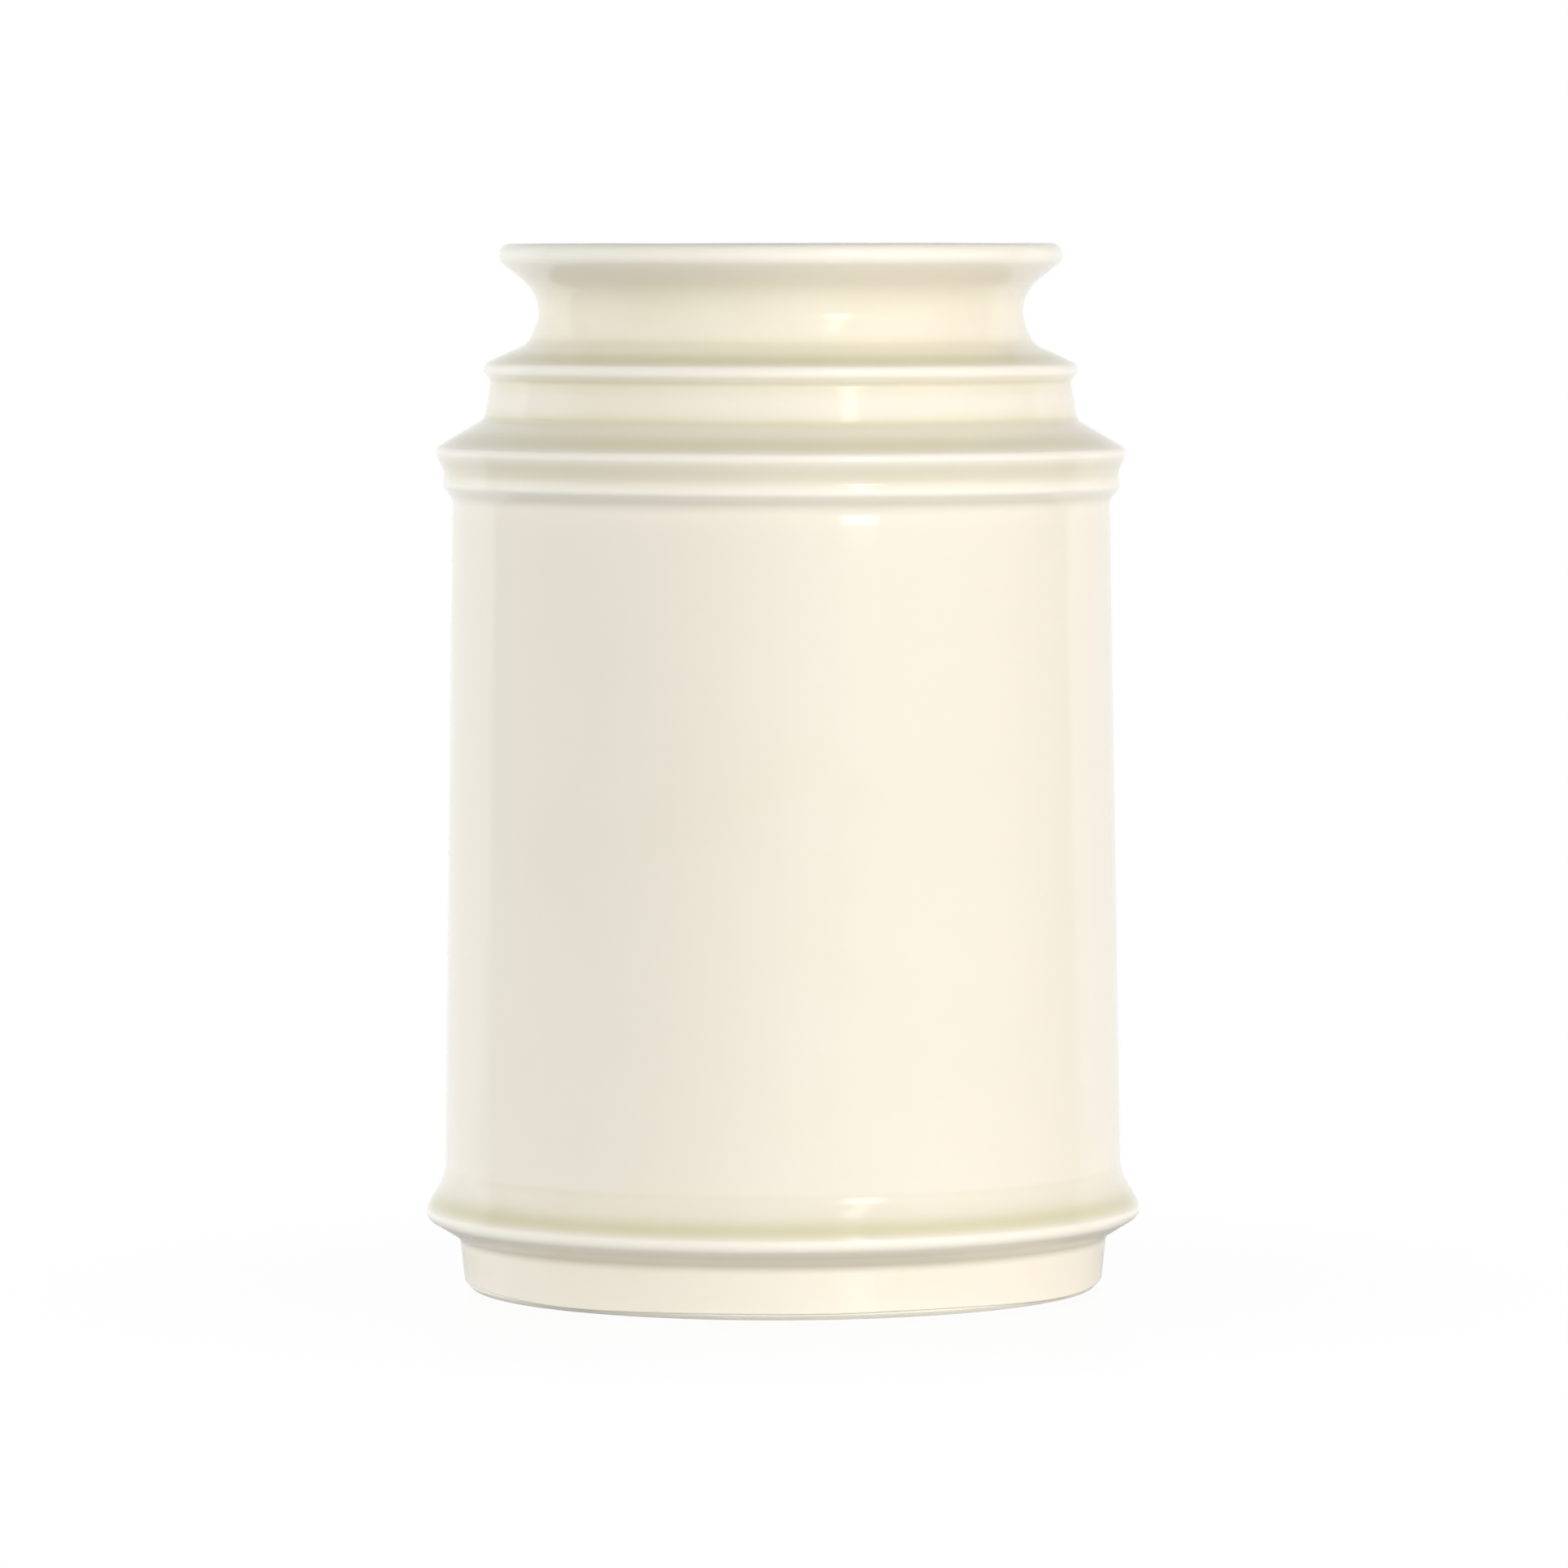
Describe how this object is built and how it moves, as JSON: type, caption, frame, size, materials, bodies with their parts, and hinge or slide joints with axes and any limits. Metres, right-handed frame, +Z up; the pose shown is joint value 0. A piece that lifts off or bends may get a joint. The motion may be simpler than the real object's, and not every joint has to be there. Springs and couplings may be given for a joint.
{
  "type": "utensil holder",
  "caption": "Tall round stoneware crock with a rolled rim, hollow neck, ringed shoulder, long plain wall, base ring and drawn-in foot, in glossy cream glaze, for standing kitchen utensils in.",
  "frame": {"origin": "Middle of the foot ring, on the surface that the holder stands on", "axes": "+Z is up along the axis the holder is turned about; X and Y are level and interchangeable, with the pictured side facing -Y"},
  "size_m": [0.126, 0.126, 0.184],
  "materials": {
    "bare_clay": "matt, fired off-white stoneware, bare on the foot ring only",
    "cream_glaze": "glossy, opaque cream glaze, paler on the ridges and deeper in the hollows"
  },
  "bodies": {
    "root": {"clay_body": "bare_clay", "glaze_coat": "cream_glaze", "base_glaze": "cream_glaze"}
  },
  "joints": []
}
